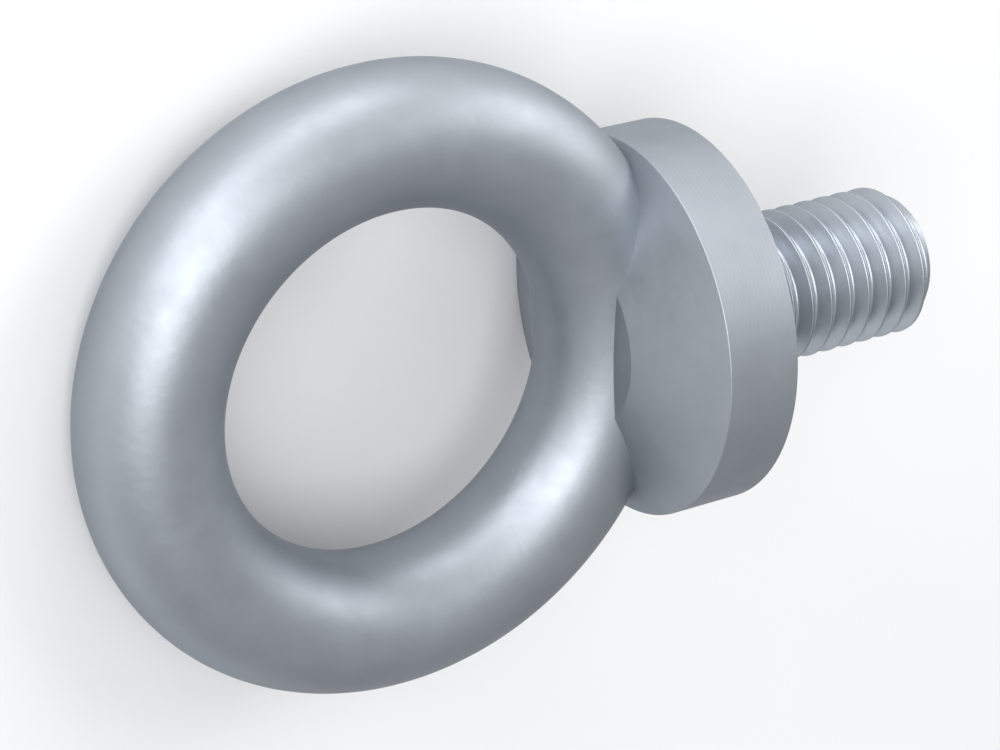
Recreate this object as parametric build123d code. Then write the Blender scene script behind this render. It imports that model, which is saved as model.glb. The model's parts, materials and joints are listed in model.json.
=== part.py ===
from build123d import *
import math
import os

# Lifting eye bolt with an M10 shank, all sizes in millimetres.
# It is one forging: a ring of round section, a cone that carries the ring, a collar
# with the seating face, and a shank with a rolled right-hand thread.

# Ring
ring_hole_diameter = 23.0
ring_wire_diameter = 9.0

# Collar and the cone between collar and ring
collar_diameter = 25.0
collar_thickness = 5.0
cone_height = 3.0
cone_small_diameter = 12.0
rim_rounding = 0.1

# Shank
thread_diameter = 10.0
shank_length = 17.0
tip_diameter = 8.0
tip_chamfer_length = 1.0

# Thread of standard metric profile: the crest is an eighth of the pitch wide, and the
# groove is 17/24 as deep as the sharp triangle between the flanks is high
thread_pitch = 1.5
thread_flank_angle = 60.0
flank_run_per_height = math.tan(math.radians(thread_flank_angle / 2))
thread_crest_width = thread_pitch / 8
thread_depth = 17 / 24 * (thread_pitch / 2 / flank_run_per_height)

# From the seating face to where the thread's first crest would cross the ring's plane
first_crest_distance = 0.4

# Undercut between the seating face and the thread, so that the face can sit flush
undercut_diameter = 7.7
undercut_length = 2.5
undercut_runout_angle = 30.0
undercut_corner_radius = 0.8

# Height of the eye: from the seating face to the far side of the ring
eye_height = 42.5

# Places along the bolt's axis, counted from the centre of the ring towards the tip
ring_centreline_radius = (ring_hole_diameter + ring_wire_diameter) / 2
wire_radius = ring_wire_diameter / 2
seat_place = eye_height - ring_centreline_radius - wire_radius
collar_front_place = seat_place - collar_thickness
cone_end_place = collar_front_place - cone_height
tip_place = seat_place + shank_length
chamfer_place = tip_place - tip_chamfer_length

# The undercut's cone runs out from the neck to the thread's outer diameter
runout_rise = (thread_diameter - undercut_diameter) / 2
runout_length = runout_rise / math.tan(math.radians(undercut_runout_angle))
undercut_end_place = seat_place + undercut_length
thread_start_place = undercut_end_place + runout_length

# The thread is wound on a longer rod and then trimmed. Its groove starts at least one
# pitch ahead of the undercut's end and stops at least one pitch past the tip.
first_groove_place = seat_place + first_crest_distance + thread_pitch / 2
pitches_ahead = math.floor((undercut_end_place - first_groove_place) / thread_pitch - 1)
groove_start_place = first_groove_place + pitches_ahead * thread_pitch
groove_turns = math.ceil((tip_place - groove_start_place) / thread_pitch + 1)
groove_end_place = groove_start_place + groove_turns * thread_pitch

# How far the groove's cutter reaches out past the rod
cutter_overlap = 0.1


def turned(*corners):
    """A solid turned about the bolt's axis from the corners (place, radius) of its half section."""
    return revolve(make_face(Polyline(*corners, close=True)), axis=Axis.X)


def circles_of(solid, diameter):
    """The solid's full-circle edges of one diameter."""
    circles = solid.edges().filter_by(GeomType.CIRCLE)
    return circles.filter_by(lambda edge: math.isclose(edge.radius, diameter / 2, abs_tol=1e-6))


def collar():
    """Cone, collar and the neck of the undercut, with the collar's two rims rounded."""
    blank = turned(
        (cone_end_place, 0),
        (cone_end_place, cone_small_diameter / 2),
        (collar_front_place, collar_diameter / 2),
        (seat_place, collar_diameter / 2),
        (seat_place, undercut_diameter / 2),
        (undercut_end_place, undercut_diameter / 2),
        (undercut_end_place, 0),
    )
    rimmed = fillet(circles_of(blank, collar_diameter), rim_rounding)
    neck_corner = circles_of(rimmed, undercut_diameter).sort_by(Axis.X)[0]
    return fillet(neck_corner, undercut_corner_radius)


def thread_groove():
    """What the thread leaves free: a trapezoid wound right-handed round the bolt's axis."""
    half_groove = (thread_pitch - thread_crest_width) / 2
    half_root = half_groove - thread_depth * flank_run_per_height
    half_mouth = half_groove + cutter_overlap * flank_run_per_height
    root_radius = thread_diameter / 2 - thread_depth
    mouth_radius = thread_diameter / 2 + cutter_overlap
    section = Polyline(
        (root_radius, -half_root),
        (mouth_radius, -half_mouth),
        (mouth_radius, half_mouth),
        (root_radius, half_root),
        close=True,
    )
    helix = Helix(thread_pitch, groove_turns * thread_pitch, thread_diameter / 2)
    wound = sweep(Plane.XZ * make_face(section), path=helix, is_frenet=True)
    return Plane((groove_start_place, 0, 0), x_dir=(0, 1, 0), z_dir=(1, 0, 0)) * wound


def shank():
    """The threaded rod, trimmed by the undercut's cone at one end and the tip's chamfer at the other."""
    rod_start_place = groove_start_place - thread_pitch
    rod_end_place = groove_end_place + thread_pitch
    rod = turned(
        (rod_start_place, 0),
        (rod_start_place, thread_diameter / 2),
        (rod_end_place, thread_diameter / 2),
        (rod_end_place, 0),
    )
    trimmed_outline = turned(
        (undercut_end_place, 0),
        (undercut_end_place, undercut_diameter / 2),
        (thread_start_place, thread_diameter / 2),
        (chamfer_place, thread_diameter / 2),
        (tip_place, tip_diameter / 2),
        (tip_place, 0),
    )
    return (rod - thread_groove()) & trimmed_outline


def ring():
    """The eye: a ring of round section that lies in the XY plane, with its hole along Z."""
    return Torus(ring_centreline_radius, wire_radius)


def resting_tilt():
    """The bolt's slope in degrees when it lies on a flat floor, tip upwards.

    It touches the floor with the far side of the ring and with the rounded front rim of the
    collar. Both are arcs in the bolt's middle plane, so the floor is the line below both.
    """
    cone_slope = math.atan2((collar_diameter - cone_small_diameter) / 2, cone_height)
    rim_arc_place = collar_front_place + rim_rounding * math.tan(cone_slope / 2)
    rim_arc_radius = collar_diameter / 2 - rim_rounding
    span = ring_centreline_radius + rim_arc_place
    line_up = math.atan2(rim_arc_radius, span)
    arc_difference = math.asin((wire_radius - rim_rounding) / math.hypot(span, rim_arc_radius))
    return math.degrees(line_up - arc_difference)


def eye_bolt():
    """The whole bolt as it lies at rest, with the floor at Z = 0 below the middle of its outline."""
    bolt = ring() + collar() + shank()
    lying = Rot(0, -resting_tilt(), 0) * bolt
    box = lying.bounding_box()
    return Pos(-box.center().X, -box.center().Y, -box.min.Z) * lying


os.makedirs("parts", exist_ok=True)
export_step(eye_bolt(), "parts/eye_bolt.step")
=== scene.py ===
import json
import math

import bmesh
import bpy
from bpy.props import FloatProperty, FloatVectorProperty, IntProperty, PointerProperty
from mathutils import Matrix, Vector


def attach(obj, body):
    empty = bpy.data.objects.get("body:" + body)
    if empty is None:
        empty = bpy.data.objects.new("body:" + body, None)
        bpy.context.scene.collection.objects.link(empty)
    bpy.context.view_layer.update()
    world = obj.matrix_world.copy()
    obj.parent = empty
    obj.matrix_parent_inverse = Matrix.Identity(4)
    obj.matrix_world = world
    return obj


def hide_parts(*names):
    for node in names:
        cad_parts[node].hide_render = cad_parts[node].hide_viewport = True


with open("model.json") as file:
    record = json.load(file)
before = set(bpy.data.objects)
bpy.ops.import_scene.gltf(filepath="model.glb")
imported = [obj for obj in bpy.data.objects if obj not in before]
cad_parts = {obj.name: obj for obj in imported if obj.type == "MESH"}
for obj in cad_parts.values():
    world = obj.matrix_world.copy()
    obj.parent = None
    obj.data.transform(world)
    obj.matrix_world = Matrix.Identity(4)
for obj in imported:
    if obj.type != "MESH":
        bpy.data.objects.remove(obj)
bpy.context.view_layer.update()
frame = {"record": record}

bl_info = {
    "name": "Lifting Eye Bolt",
    "version": (1, 0, 0),
    "blender": (4, 5, 0),
    "location": "3D View > Sidebar > Eye Bolt",
    "description": "Models a forged lifting eye bolt with a rolled M10 thread, in a plain studio",
    "category": "Add Mesh",
}

MM = 0.001

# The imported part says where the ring, the seating face and the shank are
MOUNTS = {mount["name"]: mount for mount in frame["record"]["mounts"]}
EYE = MOUNTS["eye"]
SEAT = MOUNTS["seating_face"]
SHANK = MOUNTS["threaded_shank"]

RING_CENTRE = Vector(EYE["pos_m"])
ALONG = Vector(SHANK["axis"]).normalized()
THROUGH = Vector(EYE["axis"]).normalized()

# From the bolt's own frame to the part's. The bolt's frame has its origin at the ring's centre,
# X along the bolt towards the tip and Z through the ring's hole.
BOLT = Matrix((ALONG, THROUGH.cross(ALONG), THROUGH)).transposed().to_4x4()
BOLT.translation = RING_CENTRE

# Places along the bolt's axis, counted from the ring's centre towards the tip
SEAT_PLACE = (Vector(SEAT["pos_m"]) - RING_CENTRE).dot(ALONG)
SHANK_MIDDLE = (Vector(SHANK["pos_m"]) - RING_CENTRE).dot(ALONG)
TIP_PLACE = SHANK_MIDDLE + SHANK["dims"]["length_mm"] * MM / 2

# The finished piece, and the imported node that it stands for
PIECE = "eye_bolt_steel"
NODE = "eye_bolt"

# Mesh attributes: shading normals on their way through the union, and each point's place in the
# bolt's own frame in millimetres, which the finishes read
NORMAL = "shading_normal"
BOLT_PLACE = "bolt_place_mm"

# The finishes, in the order that the faces' slot numbers count in
FINISHES = ("zinc_plated_forged_steel", "zinc_plated_turned_collar", "zinc_plated_rolled_thread")
FORGED, TURNED, ROLLED = range(len(FINISHES))

# Faces across each small rounding
FRONT_RIM_STEPS = 5
SEAT_RIM_STEPS = 6
NECK_CORNER_STEPS = 8
ROOT_STEPS = 5
CREST_EDGE_STEPS = 4

# The fewest faces that a round shape may be given
FEWEST_STEPS = 12

# Points closer together than this, in metres, become one
WELD_DISTANCE = 0.5e-6

# An edge that is shorter than this after the welding, in metres, is dissolved
SHORTEST_EDGE = WELD_DISTANCE / 5

# Faces that meet at more than this angle keep a sharp edge between them
SHARP_ANGLE = math.radians(20)

SENSOR_WIDTH_MM = 36


def length(name, description, default):
    """A length property in metres, shown in the user's own unit."""
    return FloatProperty(
        name=name, description=description, default=default,
        subtype="DISTANCE", unit="LENGTH", precision=5,
    )


def angle(name, description, degrees):
    """An angle property whose default is given in degrees."""
    return FloatProperty(
        name=name, description=description, default=math.radians(degrees),
        subtype="ANGLE", unit="ROTATION",
    )


def share(name, description, default):
    """A property that runs from 0 to 1."""
    return FloatProperty(
        name=name, description=description, default=default,
        min=0.0, max=1.0, subtype="FACTOR",
    )


def steps(name, description, default):
    """A count of faces around a round shape."""
    return IntProperty(name=name, description=description, default=default, min=FEWEST_STEPS)


def hex_to_linear(text):
    """Linear RGB of a colour written as six hex digits, by the curve of the sRGB standard."""
    values = (int(text[i:i + 2], 16) / 255 for i in (0, 2, 4))
    return tuple(v / 12.92 if v <= 0.04045 else ((v + 0.055) / 1.055) ** 2.4 for v in values)


def colour(name, description, text):
    """A colour property whose default is an sRGB hex value."""
    return FloatVectorProperty(
        name=name, description=description, default=hex_to_linear(text),
        size=3, min=0.0, max=1.0, subtype="COLOR",
    )


class ForgingSizes(bpy.types.PropertyGroup):
    """Sizes of the ring, the cone and the collar."""

    hole_radius: length(
        "Hole radius", "Inner radius of the ring", EYE["dims"]["r_mm"] * MM)
    wire_radius: length(
        "Wire radius", "Radius of the ring's round section", EYE["dims"]["length_mm"] * MM / 2)
    collar_radius: length(
        "Collar radius", "Radius of the collar and of its seating face", 12.5 * MM)
    collar_thickness: length(
        "Collar thickness", "From the seating face to the front rim", 5.0 * MM)
    cone_height: length(
        "Cone height", "Length of the cone in front of the collar", 3.0 * MM)
    cone_small_radius: length(
        "Cone small radius", "Radius of the flat face that ends the cone", 6.0 * MM)
    rim_rounding: length(
        "Rim rounding", "Radius on both rims of the collar", 0.1 * MM)
    ring_steps: steps("Ring steps", "Faces around the ring", 256)
    wire_steps: steps("Wire steps", "Faces around the ring's section", 72)


class ThreadSizes(bpy.types.PropertyGroup):
    """Sizes of the threaded shank."""

    thread_radius: length(
        "Thread radius", "Outer radius of the thread", SHANK["dims"]["r_mm"] * MM)
    pitch: length(
        "Pitch", "Distance from one turn of the thread to the next", 1.5 * MM)
    groove_depth: length(
        "Groove depth", "From the crest to the bottom of the groove", 0.92 * MM)
    crest_width: length(
        "Crest width", "Width of the flat crest before its edges are rounded", 0.1875 * MM)
    crest_rounding: length(
        "Crest rounding", "Radius on both edges of the crest", 0.07 * MM)
    seam_width: length(
        "Seam width", "Width of the fine seam that rolling leaves along the crest", 0.07 * MM)
    seam_depth: length(
        "Seam depth", "From the crest to the bottom of its seam", 0.07 * MM)
    flank_slope: angle(
        "Flank slope", "Each flank's slope away from a plane across the bolt", 30)
    first_crest: length(
        "First crest", "From the seating face to a crest's crossing of the ring's plane", 0.4 * MM)
    tip_chamfer: length(
        "Tip chamfer", "Width and length of the chamfer at the tip", 1.0 * MM)
    neck_radius: length(
        "Neck radius", "Radius of the undercut behind the seating face", 3.85 * MM)
    neck_length: length(
        "Neck length", "Length of the undercut", 2.5 * MM)
    corner_rounding: length(
        "Corner rounding", "Radius between the seating face and the undercut", 0.8 * MM)
    runout_slope: angle(
        "Run-out slope", "Slope from the undercut up to the thread", 30)
    turn_steps: steps("Turn steps", "Faces around the bolt's axis", 144)


class SteelLook(bpy.types.PropertyGroup):
    """Colours and gloss of the zinc-plated steel."""

    forged_colour: colour("Forged colour", "Plating on the ring and the cone", "A2A8AF")
    turned_colour: colour("Turned colour", "Plating on the collar's machined faces", "A2A8AF")
    # A little lighter than the other platings: painted light that lifts the shade in the thread's
    # grooves
    rolled_colour_with_painted_light: colour("Rolled colour", "Plating on the thread", "B5BBC2")
    roughness: share("Roughness", "Roughness of the satin plating", 0.52)
    rolled_roughness: share("Thread roughness", "Roughness of the burnished thread", 0.42)
    edge_share: share("Edge share", "Reflection that the plating keeps when seen edge-on", 0.5)
    feed_marks: length(
        "Feed marks", "Distance between the rings left by the lathe tool", 0.3 * MM)


class StageLook(bpy.types.PropertyGroup):
    """The floor, the room's light and the camera."""

    floor_colour: colour("Floor colour", "Pale matt floor", "E4E5E6")
    floor_roughness: share("Floor roughness", "Roughness of the floor's paint", 0.9)
    floor_size: length("Floor size", "Side of the square floor", 4.0)
    room_light: FloatProperty(
        name="Room light", description="Strength of the even light from all sides",
        default=0.55, min=0.0,
    )
    camera_target: FloatVectorProperty(
        name="Camera target", description="Point in the middle of the picture",
        default=(-2.318 * MM, -0.856 * MM, 10.967 * MM),
        size=3, subtype="TRANSLATION", unit="LENGTH",
    )
    camera_distance: length(
        "Camera distance", "From the camera to its target", 190.98 * MM)
    camera_azimuth: angle(
        "Camera azimuth", "Direction of the camera, from +X towards +Y", 146.94)
    camera_elevation: angle(
        "Camera elevation", "Height of the camera above the floor's plane", 40.42)
    camera_roll: angle(
        "Camera roll", "Turn of the camera about its own line of sight", -0.13)
    camera_lens: FloatProperty(
        name="Lens", description=f"Focal length on a sensor {SENSOR_WIDTH_MM} mm wide",
        default=110.556, unit="CAMERA",
    )


def bare_mesh(name, points, faces, slots):
    """A mesh from points and faces, with one material slot number for each face."""
    mesh = bpy.data.meshes.new(name)
    mesh.from_pydata(points, [], faces)
    mesh.polygons.foreach_set("material_index", slots)
    mesh.update()
    return mesh


def show(name, data):
    """Links a new object with this data to the scene."""
    piece = bpy.data.objects.new(name, data)
    bpy.context.scene.collection.objects.link(piece)
    return piece


def evaluated(piece):
    """The object as its modifiers leave it."""
    return piece.evaluated_get(bpy.context.evaluated_depsgraph_get())


def arc(centre_place, centre_radius, radius, first, last, count):
    """Outline points (place, radius) on an arc.

    The angles are in degrees, from the bolt's axis outwards.
    """
    turns = [math.radians(first + (last - first) * i / count) for i in range(count + 1)]
    return [(centre_place + radius * math.cos(t), centre_radius + radius * math.sin(t))
            for t in turns]


def collar_outline(forging, thread):
    """Half section from the cone's flat end to the end of the undercut.

    Returns its points as (place, radius) pairs and the slot number of each stretch between them.
    """
    front = SEAT_PLACE - forging.collar_thickness
    cone_end = front - forging.cone_height
    neck_end = SEAT_PLACE + thread.neck_length
    rounding = forging.rim_rounding
    cone_rise = forging.collar_radius - forging.cone_small_radius
    cone_slope = math.atan2(cone_rise, forging.cone_height)
    cone_normal = 90 + math.degrees(cone_slope)
    front_arc_place = front + rounding * math.tan(cone_slope / 2)
    seat_arc_place = SEAT_PLACE - rounding
    rim_arc_radius = forging.collar_radius - rounding
    corner = thread.corner_rounding
    corner_arc_radius = thread.neck_radius + corner

    forged = [(cone_end, 0.0), (cone_end, forging.cone_small_radius)]
    machined = [
        *arc(front_arc_place, rim_arc_radius, rounding, cone_normal, 90, FRONT_RIM_STEPS),
        *arc(seat_arc_place, rim_arc_radius, rounding, 90, 0, SEAT_RIM_STEPS),
        *arc(SEAT_PLACE + corner, corner_arc_radius, corner, 180, 270, NECK_CORNER_STEPS),
        (neck_end, thread.neck_radius),
    ]
    return forged + machined, [FORGED] * len(forged) + [TURNED] * (len(machined) - 1)


def turned(name, pairs, slots, count):
    """A mesh turned about the bolt's axis from an outline. A pair with no radius becomes a pole."""
    points, rows = [], []
    for place, radius in pairs:
        row_size = count if radius > 0 else 1
        rows.append([len(points) + step for step in range(row_size)])
        for step in range(row_size):
            turn = math.tau * step / count
            points.append((place, radius * math.cos(turn), radius * math.sin(turn)))
    faces = []
    for low, high in zip(rows, rows[1:]):
        for step in range(count):
            after = (step + 1) % count
            near = [low[step % len(low)], low[after % len(low)]]
            far = [high[after % len(high)], high[step % len(high)]]
            faces.append(tuple(dict.fromkeys(near + far)))
    return bare_mesh(name, points, faces, [slot for slot in slots for _ in range(count)])


def thread_section(thread):
    """Half section of one pitch, from one groove's bottom to the next, as (place, radius) pairs.

    The groove's bottom is one arc between its flanks. The edges of the crest are rounded, and its
    middle has the fine seam where the metal that the dies push up from both sides doesn't quite
    close.
    """
    slope = thread.flank_slope
    lean = math.degrees(math.pi / 2 - slope)
    crest_edge = (thread.pitch - thread.crest_width) / 2
    groove_half = crest_edge - thread.groove_depth * math.tan(slope)
    root_rounding = groove_half * math.cos(slope) / (1 - math.sin(slope))
    root_radius = thread.thread_radius - thread.groove_depth + root_rounding
    crest_place = crest_edge + thread.crest_rounding * math.tan(slope)
    crest_radius = thread.thread_radius - thread.crest_rounding
    half = [
        *arc(0, root_radius, root_rounding, 270, 270 + lean, ROOT_STEPS),
        *arc(crest_place, crest_radius, thread.crest_rounding, 90 + lean, 90, CREST_EDGE_STEPS),
        ((thread.pitch - thread.seam_width) / 2, thread.thread_radius),
    ]
    seam_bottom = (thread.pitch / 2, thread.thread_radius - thread.seam_depth)
    mirrored = [(thread.pitch - place, radius) for place, radius in reversed(half)]
    return [*half, seam_bottom, *mirrored]


def add_node(tree, kind, settings, inputs):
    """Adds a node with its own settings.

    Each input takes a value, or another node's output to link.
    """
    node = tree.nodes.new(kind)
    for name, value in settings.items():
        setattr(node, name, value)
    for key, value in inputs.items():
        if isinstance(value, bpy.types.NodeSocket):
            tree.links.new(value, node.inputs[key])
        else:
            node.inputs[key].default_value = value
    return node


def calculate(tree, operation, *values, kind="ShaderNodeMath"):
    """Adds a Math node for these values or other nodes' outputs, and returns its result."""
    return add_node(tree, kind, {"operation": operation}, dict(enumerate(values))).outputs[0]


def new_geometry_tree(name, inputs):
    """A Geometry Nodes tree with these named inputs.

    Returns the tree and the outputs of its input node.
    """
    tree = bpy.data.node_groups.new(name, "GeometryNodeTree")
    tree.interface.new_socket("Geometry", in_out="OUTPUT", socket_type="NodeSocketGeometry")
    for label, kind in (("Geometry", "Geometry"), ("Material", "Material"), *inputs):
        tree.interface.new_socket(label, in_out="INPUT", socket_type="NodeSocket" + kind)
    return tree, add_node(tree, "NodeGroupInput", {}, {}).outputs


def finish_tree(tree, start, geometry):
    """Ends a tree in Realize Instances and Set Material."""
    real = add_node(tree, "GeometryNodeRealizeInstances", {}, {"Geometry": geometry})
    painted = add_node(tree, "GeometryNodeSetMaterial", {}, {
        "Geometry": real.outputs[0], "Material": start["Material"],
    })
    add_node(tree, "NodeGroupOutput", {}, {"Geometry": painted.outputs[0]})


def ring_tree():
    """Sweeps the round section of the wire along the ring's centreline."""
    tree, start = new_geometry_tree("Ring of round section", [
        ("Centreline radius", "Float"), ("Wire radius", "Float"),
        ("Ring steps", "Int"), ("Wire steps", "Int"),
    ])
    line = add_node(tree, "GeometryNodeCurvePrimitiveCircle", {}, {
        "Resolution": start["Ring steps"], "Radius": start["Centreline radius"],
    })
    section = add_node(tree, "GeometryNodeCurvePrimitiveCircle", {}, {
        "Resolution": start["Wire steps"], "Radius": start["Wire radius"],
    })
    swept = add_node(tree, "GeometryNodeCurveToMesh", {}, {
        "Curve": line.outputs[0], "Profile Curve": section.outputs[0],
    })
    finish_tree(tree, start, swept.outputs[0])
    return tree


def thread_tree():
    """Winds the thread's section round the bolt's axis, one pitch further for each turn.

    The incoming geometry is the section of one pitch. A grid has one column for each point of the
    section and one row for each step of the helix. Rows that pass the undercut or the tip are held
    at those planes, where the run-out and the chamfer have cut the thread down to plain circles.
    """
    tree, start = new_geometry_tree("Rolled thread", [
        ("Pitch", "Float"), ("Turns", "Int"), ("Steps", "Int"), ("First groove", "Float"),
        ("Neck end", "Float"), ("Run-out end", "Float"), ("Chamfer start", "Float"),
        ("Tip", "Float"), ("Neck radius", "Float"), ("Thread radius", "Float"),
        ("Tip radius", "Float"),
    ])
    points = add_node(tree, "GeometryNodeAttributeDomainSize", {}, {
        "Geometry": start["Geometry"],
    }).outputs[0]
    rows = calculate(tree, "MULTIPLY_ADD", start["Turns"], start["Steps"], 1)
    grid = add_node(tree, "GeometryNodeMeshGrid", {}, {"Vertices X": rows, "Vertices Y": points})
    index = add_node(tree, "GeometryNodeInputIndex", {}, {}).outputs[0]
    row = calculate(tree, "DIVIDE_FLOOR", index, points, kind="FunctionNodeIntegerMath")
    column = calculate(tree, "MODULO", index, points, kind="FunctionNodeIntegerMath")
    turns = calculate(tree, "DIVIDE", row, start["Steps"])

    # Where each point of the section comes to lie along the bolt
    sampled = add_node(tree, "GeometryNodeSampleIndex", {"data_type": "FLOAT_VECTOR"}, {
        "Geometry": start["Geometry"],
        "Value": add_node(tree, "GeometryNodeInputPosition", {}, {}).outputs[0],
        "Index": column,
    })
    point = add_node(tree, "ShaderNodeSeparateXYZ", {}, {0: sampled.outputs[0]}).outputs
    wound = calculate(tree, "MULTIPLY_ADD", turns, start["Pitch"], point["X"])
    place = add_node(tree, "ShaderNodeClamp", {}, {
        "Value": calculate(tree, "ADD", wound, start["First groove"]),
        "Min": start["Neck end"], "Max": start["Tip"],
    }).outputs[0]

    # The run-out and the chamfer limit the radius
    runout = add_node(tree, "ShaderNodeMapRange", {}, {
        "Value": place, "From Min": start["Neck end"], "From Max": start["Run-out end"],
        "To Min": start["Neck radius"], "To Max": start["Thread radius"],
    })
    chamfer = add_node(tree, "ShaderNodeMapRange", {}, {
        "Value": place, "From Min": start["Chamfer start"], "From Max": start["Tip"],
        "To Min": start["Thread radius"], "To Max": start["Tip radius"],
    })
    limit = calculate(tree, "MINIMUM", runout.outputs[0], chamfer.outputs[0])
    radius = calculate(tree, "MINIMUM", point["Y"], limit)

    unturned = add_node(tree, "ShaderNodeCombineXYZ", {}, {"X": place, "Y": radius})
    position = add_node(tree, "ShaderNodeVectorRotate", {"rotation_type": "X_AXIS"}, {
        "Vector": unturned.outputs[0], "Angle": calculate(tree, "MULTIPLY", turns, math.tau),
    })
    moved = add_node(tree, "GeometryNodeSetPosition", {}, {
        "Geometry": grid.outputs[0], "Position": position.outputs[0],
    })
    finish_tree(tree, start, moved.outputs[0])
    return tree


def run_tree(name, mesh, tree, slot, values):
    """Runs a Geometry Nodes tree on a mesh, with values for its named inputs.

    Returns the plain mesh that it makes, all of it in one material slot.
    """
    piece = show(name, mesh)
    modifier = piece.modifiers.new(tree.name, "NODES")
    modifier.node_group = tree
    given = {**values, "Material": bpy.data.materials[FINISHES[slot]]}
    for item in tree.interface.items_tree:
        if item.in_out == "INPUT" and item.name in given:
            modifier[item.identifier] = given[item.name]
    made = bpy.data.meshes.new_from_object(evaluated(piece))
    bpy.data.objects.remove(piece)
    if not made.polygons:
        raise RuntimeError(f"The tree '{tree.name}' makes no faces.")
    made.materials.clear()
    made.polygons.foreach_set("material_index", [slot] * len(made.polygons))
    return made


def welded(meshes, name):
    """Joins meshes, welds the points that meet, and drops faces that this leaves with no area."""
    work = bmesh.new()
    for mesh in meshes:
        work.from_mesh(mesh)
    bmesh.ops.remove_doubles(work, verts=work.verts, dist=WELD_DISTANCE)
    bmesh.ops.dissolve_degenerate(work, edges=work.edges, dist=SHORTEST_EDGE)
    bmesh.ops.recalc_face_normals(work, faces=work.faces)
    joined = bpy.data.meshes.new(name)
    work.to_mesh(joined)
    work.free()
    return joined


def paint(piece):
    """Gives the piece the three finishes, in the order of their slot numbers."""
    for name in FINISHES:
        piece.data.materials.append(bpy.data.materials[name])


def keep_normals(piece):
    """Stores the shading normals at the corners of the faces, where the union carries them along.

    Large faces lead, so that cones and flanks stay straight right up to the small roundings beside
    them.
    """
    piece.data.shade_smooth()
    piece.data.set_sharp_from_angle(angle=SHARP_ANGLE)
    piece.modifiers.new("Large faces lead", "WEIGHTED_NORMAL").keep_sharp = True
    normals = [0.0] * (3 * len(piece.data.loops))
    evaluated(piece).data.corner_normals.foreach_get("vector", normals)
    piece.modifiers.clear()
    kept = piece.data.attributes.new(NORMAL, "FLOAT_VECTOR", "CORNER")
    kept.data.foreach_set("vector", normals)


def open_edges(mesh):
    """How many edges of the mesh don't lie between exactly two faces."""
    work = bmesh.new()
    work.from_mesh(mesh)
    count = sum(not edge.is_manifold for edge in work.edges)
    work.free()
    return count


class EYEBOLT_OT_collar(bpy.types.Operator):
    """Turn the cone, the collar with its seating face, and the undercut behind it"""

    bl_idname = "eyebolt.collar"
    bl_label = "Collar"

    def execute(self, context):
        forging, thread = context.scene.eyebolt_forging, context.scene.eyebolt_thread
        pairs, slots = collar_outline(forging, thread)
        show("collar", turned("collar", pairs, slots, thread.turn_steps))
        return {"FINISHED"}


class EYEBOLT_OT_thread(bpy.types.Operator):
    """Wind the rolled thread round the shank and close the tip"""

    bl_idname = "eyebolt.thread"
    bl_label = "Thread"

    def execute(self, context):
        thread = context.scene.eyebolt_thread
        neck_end = SEAT_PLACE + thread.neck_length
        runout_rise = thread.thread_radius - thread.neck_radius
        tip_radius = thread.thread_radius - thread.tip_chamfer
        first_groove = SEAT_PLACE + thread.first_crest - thread.pitch / 2
        section = bpy.data.meshes.new("thread_section")
        section.from_pydata([(*pair, 0) for pair in thread_section(thread)], [], [])
        wound = run_tree("thread", section, thread_tree(), ROLLED, {
            "Pitch": thread.pitch,
            "Turns": math.ceil((TIP_PLACE - first_groove) / thread.pitch),
            "Steps": thread.turn_steps,
            "First groove": first_groove,
            "Neck end": neck_end,
            "Run-out end": neck_end + runout_rise / math.tan(thread.runout_slope),
            "Chamfer start": TIP_PLACE - thread.tip_chamfer,
            "Tip": TIP_PLACE,
            "Neck radius": thread.neck_radius,
            "Thread radius": thread.thread_radius,
            "Tip radius": tip_radius,
        })
        tip_pairs = [(TIP_PLACE, tip_radius), (TIP_PLACE, 0.0)]
        tip = turned("tip", tip_pairs, [ROLLED], thread.turn_steps)
        show("thread", welded([wound, tip], "thread"))
        return {"FINISHED"}


class EYEBOLT_OT_ring(bpy.types.Operator):
    """Sweep the ring's round wire"""

    bl_idname = "eyebolt.ring"
    bl_label = "Ring"

    def execute(self, context):
        forging = context.scene.eyebolt_forging
        swept = run_tree("ring", bpy.data.meshes.new("ring_start"), ring_tree(), FORGED, {
            "Centreline radius": forging.hole_radius + forging.wire_radius,
            "Wire radius": forging.wire_radius,
            "Ring steps": forging.ring_steps,
            "Wire steps": forging.wire_steps,
        })
        show("ring", welded([swept], "ring"))
        return {"FINISHED"}


class EYEBOLT_OT_forge(bpy.types.Operator):
    """Unite ring and turned body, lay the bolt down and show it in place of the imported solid"""

    bl_idname = "eyebolt.forge"
    bl_label = "Forge in One Piece"

    def execute(self, context):
        collar, thread, ring = (bpy.data.objects[name] for name in ("collar", "thread", "ring"))
        body = show("body", welded([collar.data, thread.data], "body"))
        for piece in (body, ring):
            paint(piece)
            keep_normals(piece)
        union = body.modifiers.new("Ring", "BOOLEAN")
        union.operation = "UNION"
        union.solver = "EXACT"
        union.object = ring
        united = bpy.data.meshes.new_from_object(evaluated(body))
        for piece in (collar, thread, ring, body):
            bpy.data.objects.remove(piece)
        if not united.polygons or open_edges(united):
            raise RuntimeError("The ring and the turned body don't unite into one closed solid.")

        united.name = PIECE
        normals = [corner.vector.normalized() for corner in united.attributes[NORMAL].data]
        united.normals_split_custom_set(normals)
        united.attributes.remove(united.attributes[NORMAL])
        places = united.attributes.new(BOLT_PLACE, "FLOAT_VECTOR", "POINT")
        for vertex, place in zip(united.vertices, places.data):
            place.vector = vertex.co / MM
        united.transform(BOLT)
        bolt = show(PIECE, united)
        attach(bolt, "root")
        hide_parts(NODE)
        return {"FINISHED"}


def new_material(name):
    """A material with a fresh Principled shader. Returns the material and the shader."""
    material = bpy.data.materials.new(name)
    material.use_nodes = True
    tree = material.node_tree
    tree.nodes.clear()
    shader = add_node(tree, "ShaderNodeBsdfPrincipled", {}, {})
    add_node(tree, "ShaderNodeOutputMaterial", {}, {"Surface": shader.outputs[0]})
    return material, shader


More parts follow.
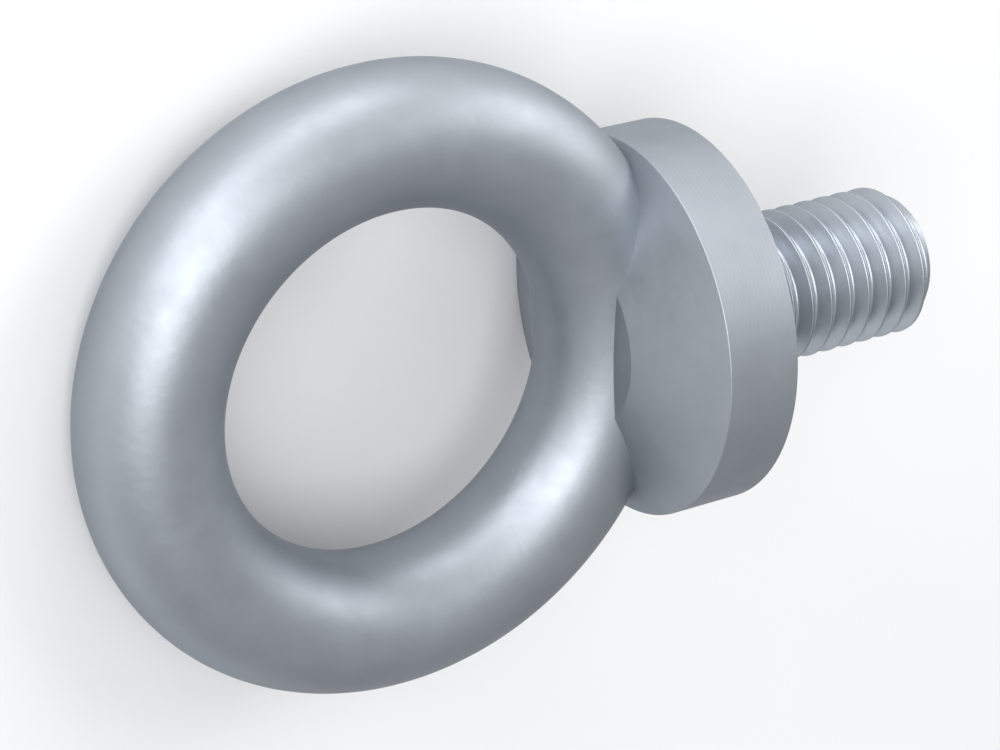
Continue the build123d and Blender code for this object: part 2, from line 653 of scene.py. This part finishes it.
# Clouds of thicker plating, some millimetres wide: their width and how much they tint the colour
CLOUDS_MM = 5.0
CLOUD_CONTRAST = 0.04

# Patches that differ in gloss: their width and how much they change the roughness
PATCHES_MM = 1.6
PATCH_CONTRAST = 0.03

# The part of a noise's range that its values mostly lie in
NOISE_LOW, NOISE_HIGH = 0.3, 0.7

# Height of the rings that the lathe tool leaves on the collar
FEED_MARKS_HEIGHT = 0.001 * MM


def zinc_plate(look, slot, base, roughness, grain_mm, grain_height):
    """Zinc-plated steel with the grain of the steel under the plating.

    Returns its shader, the place in the bolt's own frame in millimetres and the grain's bump.
    """
    # The plating is fine zinc crystals, matt enough to spread each light into a broad glow. They
    # shade one another when seen edge-on, so that round shapes darken towards their outline.
    material, shader = new_material(FINISHES[slot])
    tree = material.node_tree
    shader.inputs["Metallic"].default_value = 1.0
    edge = look.edge_share
    shader.inputs["Specular Tint"].default_value = (edge, edge, edge, 1.0)
    stored = add_node(tree, "ShaderNodeAttribute", {"attribute_name": BOLT_PLACE}, {})
    place = stored.outputs["Vector"]
    clouds, patches, grain = (
        add_node(tree, "ShaderNodeTexNoise", {}, {"Vector": place, "Scale": 1 / width}).outputs[0]
        for width in (CLOUDS_MM, PATCHES_MM, grain_mm)
    )

    # Where the plating is a little thicker it looks a little lighter
    thickness = add_node(tree, "ShaderNodeMapRange", {}, {
        "Value": clouds, "From Min": NOISE_LOW, "From Max": NOISE_HIGH,
        "To Min": 1 - CLOUD_CONTRAST, "To Max": 1 + CLOUD_CONTRAST,
    })
    tint = add_node(tree, "ShaderNodeVectorMath", {"operation": "SCALE"}, {
        0: base, "Scale": thickness.outputs[0],
    })
    tree.links.new(tint.outputs[0], shader.inputs["Base Color"])
    gloss = add_node(tree, "ShaderNodeMapRange", {}, {
        "Value": patches, "From Min": NOISE_LOW, "From Max": NOISE_HIGH,
        "To Min": roughness - PATCH_CONTRAST, "To Max": roughness + PATCH_CONTRAST,
    })
    tree.links.new(gloss.outputs[0], shader.inputs["Roughness"])

    # Real grain is some hundredths of a millimetre wide and is drawn coarser, so that it shows
    bump = add_node(tree, "ShaderNodeBump", {}, {"Distance": grain_height, "Height": grain})
    tree.links.new(bump.outputs[0], shader.inputs["Normal"])
    return shader, place, bump


def forged_finish(look):
    """The ring and the cone, drop-forged and shot-blasted before plating."""
    # The blasted skin is slightly uneven, which softly breaks up the edges of the highlights
    zinc_plate(look, FORGED, look.forged_colour, look.roughness,
               grain_mm=0.6, grain_height=0.012 * MM)


def turned_finish(look):
    """The collar's rim and seating face, turned on a lathe before plating."""
    # The tool leaves fine rings round the bolt's axis, which catch the light as faint lines
    shader, place, bump = zinc_plate(look, TURNED, look.turned_colour, look.roughness,
                                     grain_mm=0.5, grain_height=0.0015 * MM)
    tree = shader.id_data
    axes = add_node(tree, "ShaderNodeSeparateXYZ", {}, {0: place}).outputs
    across = add_node(tree, "ShaderNodeCombineXYZ", {}, {"Y": axes["Y"], "Z": axes["Z"]})
    radius = add_node(tree, "ShaderNodeVectorMath", {"operation": "LENGTH"}, {
        0: across.outputs[0],
    })
    travel = calculate(tree, "ADD", axes["X"], radius.outputs["Value"])
    # The tool's feed of 0.1 to 0.2 mm a turn is drawn coarser, at about the finest that shows
    feed = calculate(tree, "MULTIPLY", travel, math.tau * MM / look.feed_marks)
    marks = add_node(tree, "ShaderNodeBump", {}, {
        "Distance": FEED_MARKS_HEIGHT, "Height": calculate(tree, "SINE", feed),
        "Normal": bump.outputs[0],
    })
    tree.links.new(marks.outputs[0], shader.inputs["Normal"])


def rolled_finish(look):
    """The thread, rolled between dies before plating."""
    # The dies burnish the flanks, so the thread is smoother; its colour is a little lighter as
    # painted light over the groove shade
    zinc_plate(look, ROLLED, look.rolled_colour_with_painted_light, look.rolled_roughness,
               grain_mm=0.3, grain_height=0.0008 * MM)


class EYEBOLT_OT_finishes(bpy.types.Operator):
    """Make the finishes of the zinc-plated steel"""

    bl_idname = "eyebolt.finishes"
    bl_label = "Finishes"

    def execute(self, context):
        look = context.scene.eyebolt_steel
        forged_finish(look)
        turned_finish(look)
        rolled_finish(look)
        return {"FINISHED"}


# Soft boxes around the bolt, named for where they stand as the camera sees them, with low for one
# near the floor's plane. Each has an azimuth and an elevation in degrees, a width and a height in
# metres, and a power in watts.
LIGHTS = (
    ("behind_camera", 161, 44, 0.38, 0.38, 2.5),
    ("low_left", 135, 10, 0.36, 0.24, 1.45),
    ("right", 30, 44, 0.30, 0.30, 0.75),
    ("far_right", 32, 23, 0.30, 0.30, 0.85),
    ("above", 86, 10, 0.30, 0.30, 1.2),
)

# The soft boxes face the middle of the bolt, at half its height above the floor, from this far
# away in metres
BOLT_MIDDLE = Vector((0, 0, 12.7 * MM))
LIGHT_DISTANCE = 0.6

# Nothing nearer to the camera than this is drawn, in metres
CLIP_START = 0.01


def direction(azimuth, elevation):
    """Unit vector of a direction: azimuth from +X towards +Y, elevation above the floor's plane."""
    level = math.cos(elevation)
    return Vector((level * math.cos(azimuth), level * math.sin(azimuth), math.sin(elevation)))


def add_light(name, azimuth, elevation, width, height, power):
    """A rectangular soft box aimed at the middle of the bolt."""
    data = bpy.data.lights.new(name, "AREA")
    data.shape = "RECTANGLE"
    data.size, data.size_y = width, height
    data.energy = power
    light = show(name, data)
    away = direction(math.radians(azimuth), math.radians(elevation))
    light.location = BOLT_MIDDLE + away * LIGHT_DISTANCE
    light.rotation_euler = away.to_track_quat("Z", "Y").to_euler()


def add_floor(look):
    """A pale matt floor, a square in the plane Z = 0."""
    half = look.floor_size / 2
    corners = [(-half, -half, 0), (half, -half, 0), (half, half, 0), (-half, half, 0)]
    floor = show("floor", bare_mesh("floor", corners, [(0, 1, 2, 3)], [0]))
    # Matt paint, which takes soft shadows and shows no reflection of the bolt
    material, shader = new_material("matt_painted_floor")
    shader.inputs["Base Color"].default_value = (*look.floor_colour, 1)
    shader.inputs["Roughness"].default_value = look.floor_roughness
    floor.data.materials.append(material)


def add_camera(look):
    """The photograph's camera, looking down on the bolt with the part's +Y up in the picture."""
    data = bpy.data.cameras.new("camera")
    data.lens = look.camera_lens
    data.sensor_width = SENSOR_WIDTH_MM
    data.clip_start = CLIP_START
    camera = show("camera", data)
    back = direction(look.camera_azimuth, look.camera_elevation)
    right = Vector((0, 1, 0)).cross(back).normalized()
    turn = Matrix((right, back.cross(right), back)).transposed().to_4x4()
    roll = Matrix.Rotation(look.camera_roll, 4, "Z")
    place = Vector(look.camera_target) + back * look.camera_distance
    camera.matrix_world = Matrix.Translation(place) @ turn @ roll
    return camera


class EYEBOLT_OT_stage(bpy.types.Operator):
    """Set up the floor, the studio light and the camera"""

    bl_idname = "eyebolt.stage"
    bl_label = "Stage"

    def execute(self, context):
        scene, look = context.scene, context.scene.eyebolt_stage
        add_floor(look)
        room = bpy.data.worlds.new("room")
        room.use_nodes = True
        background = room.node_tree.nodes["Background"]
        background.inputs["Color"].default_value = (1, 1, 1, 1)
        background.inputs["Strength"].default_value = look.room_light
        scene.world = room
        for light in LIGHTS:
            add_light(*light)
        scene.camera = add_camera(look)
        scene.view_settings.view_transform = "Standard"
        return {"FINISHED"}


class EYEBOLT_PT_sidebar(bpy.types.Panel):
    """Lists the sizes, the finishes and the steps"""

    bl_idname = "EYEBOLT_PT_sidebar"
    bl_label = "Eye Bolt"
    bl_space_type = "VIEW_3D"
    bl_region_type = "UI"
    bl_category = "Eye Bolt"

    def draw(self, context):
        for group_name in GROUPS:
            group = getattr(context.scene, group_name)
            box = self.layout.box()
            for name in group.bl_rna.properties.keys():
                if name not in ("name", "rna_type"):
                    box.prop(group, name)
        for operator in OPERATORS:
            self.layout.operator(operator.bl_idname)


GROUPS = {
    "eyebolt_forging": ForgingSizes,
    "eyebolt_thread": ThreadSizes,
    "eyebolt_steel": SteelLook,
    "eyebolt_stage": StageLook,
}
OPERATORS = (
    EYEBOLT_OT_finishes,
    EYEBOLT_OT_collar,
    EYEBOLT_OT_thread,
    EYEBOLT_OT_ring,
    EYEBOLT_OT_forge,
    EYEBOLT_OT_stage,
)
CLASSES = (*GROUPS.values(), *OPERATORS, EYEBOLT_PT_sidebar)


def register():
    for item in CLASSES:
        bpy.utils.register_class(item)
    for name, group in GROUPS.items():
        setattr(bpy.types.Scene, name, PointerProperty(type=group))


def unregister():
    for name in GROUPS:
        delattr(bpy.types.Scene, name)
    for item in reversed(CLASSES):
        bpy.utils.unregister_class(item)


def main():
    """Runs every step in order."""
    register()
    bpy.ops.eyebolt.finishes()
    bpy.ops.eyebolt.collar()
    bpy.ops.eyebolt.thread()
    bpy.ops.eyebolt.ring()
    bpy.ops.eyebolt.forge()
    bpy.ops.eyebolt.stage()


if __name__ == "__main__":
    main()
